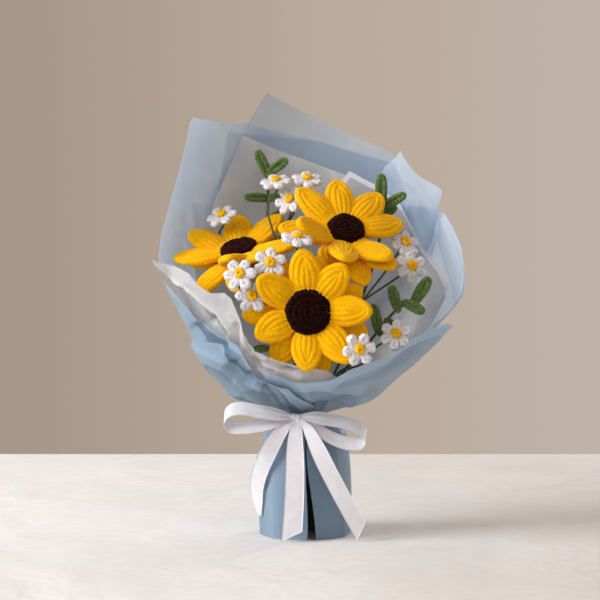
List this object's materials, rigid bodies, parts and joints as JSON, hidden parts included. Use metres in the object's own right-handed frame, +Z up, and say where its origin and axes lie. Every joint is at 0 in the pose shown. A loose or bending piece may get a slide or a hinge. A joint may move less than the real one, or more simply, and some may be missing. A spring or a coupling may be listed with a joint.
{
  "type": "chenille flower bouquet",
  "caption": "Standing wrapped bouquet of fuzzy wire sunflowers, daisies and leaves, tied with a ribbon bow above a stiff pleated paper skirt.",
  "frame": {"origin": "middle of the bounding box's bottom face, on the surface that the bouquet stands on", "axes": "+Z up along the stems, -Y towards the viewer of the picture, +X to their right"},
  "size_m": [0.3084, 0.1991, 0.4514],
  "materials": {
    "yellow_chenille": "fuzzy chenille pile",
    "brown_chenille": "fuzzy chenille pile",
    "white_chenille": "fuzzy chenille pile",
    "gold_chenille": "fuzzy chenille pile",
    "green_chenille": "fuzzy chenille pile",
    "stem_wire": "wire wound with dark green floss",
    "frosted_paper": "frosted translucent wrapping paper",
    "white_tissue": "thin crumpled tissue",
    "satin_ribbon": "satin",
    "binding_tape": "waxed floral tape"
  },
  "bodies": {
    "root": {"daisy_01_centre": "gold_chenille", "daisy_01_petals": "white_chenille", "daisy_02_centre": "gold_chenille", "daisy_02_petals": "white_chenille", "daisy_03_centre": "gold_chenille", "daisy_03_petals": "white_chenille", "daisy_04_centre": "gold_chenille", "daisy_04_petals": "white_chenille", "daisy_05_centre": "gold_chenille", "daisy_05_petals": "white_chenille", "daisy_06_centre": "gold_chenille", "daisy_06_petals": "white_chenille", "daisy_07_centre": "gold_chenille", "daisy_07_petals": "white_chenille", "daisy_08_centre": "gold_chenille", "daisy_08_petals": "white_chenille", "daisy_09_centre": "gold_chenille", "daisy_09_petals": "white_chenille", "daisy_10_centre": "gold_chenille", "daisy_10_petals": "white_chenille", "daisy_11_centre": "gold_chenille", "daisy_11_petals": "white_chenille", "daisy_12_centre": "gold_chenille", "daisy_12_petals": "white_chenille", "daisy_spray_front_wires": "stem_wire", "daisy_spray_left_wires": "stem_wire", "daisy_spray_middle_wires": "stem_wire", "daisy_spray_right_wires": "stem_wire", "leaf_sprig_left": "green_chenille", "leaf_sprig_right": "green_chenille", "leaf_sprig_upper_right": "green_chenille", "paper_skirt": "frosted_paper", "ribbon_band_knot": "satin_ribbon", "ribbon_loop_left": "satin_ribbon", "ribbon_loop_right": "satin_ribbon", "ribbon_tail_left": "satin_ribbon", "ribbon_tail_middle": "satin_ribbon", "ribbon_tail_right": "satin_ribbon", "stem_tape": "binding_tape", "sunflower_left_back_petals": "yellow_chenille", "sunflower_left_disc": "brown_chenille", "sunflower_left_front_petals": "yellow_chenille", "sunflower_left_stem": "stem_wire", "sunflower_main_back_petals": "yellow_chenille", "sunflower_main_disc": "brown_chenille", "sunflower_main_front_petals": "yellow_chenille", "sunflower_main_stem": "stem_wire", "sunflower_right_back_petals": "yellow_chenille", "sunflower_right_disc": "brown_chenille", "sunflower_right_front_petals": "yellow_chenille", "sunflower_right_stem": "stem_wire", "tissue_back": "white_tissue", "tissue_left": "white_tissue", "tissue_right": "white_tissue", "wrap_back_left": "frosted_paper", "wrap_back_top": "frosted_paper", "wrap_front_left": "frosted_paper", "wrap_front_right": "frosted_paper", "wrap_right_outer": "frosted_paper", "wrap_right_upper": "frosted_paper"}
  },
  "joints": []
}
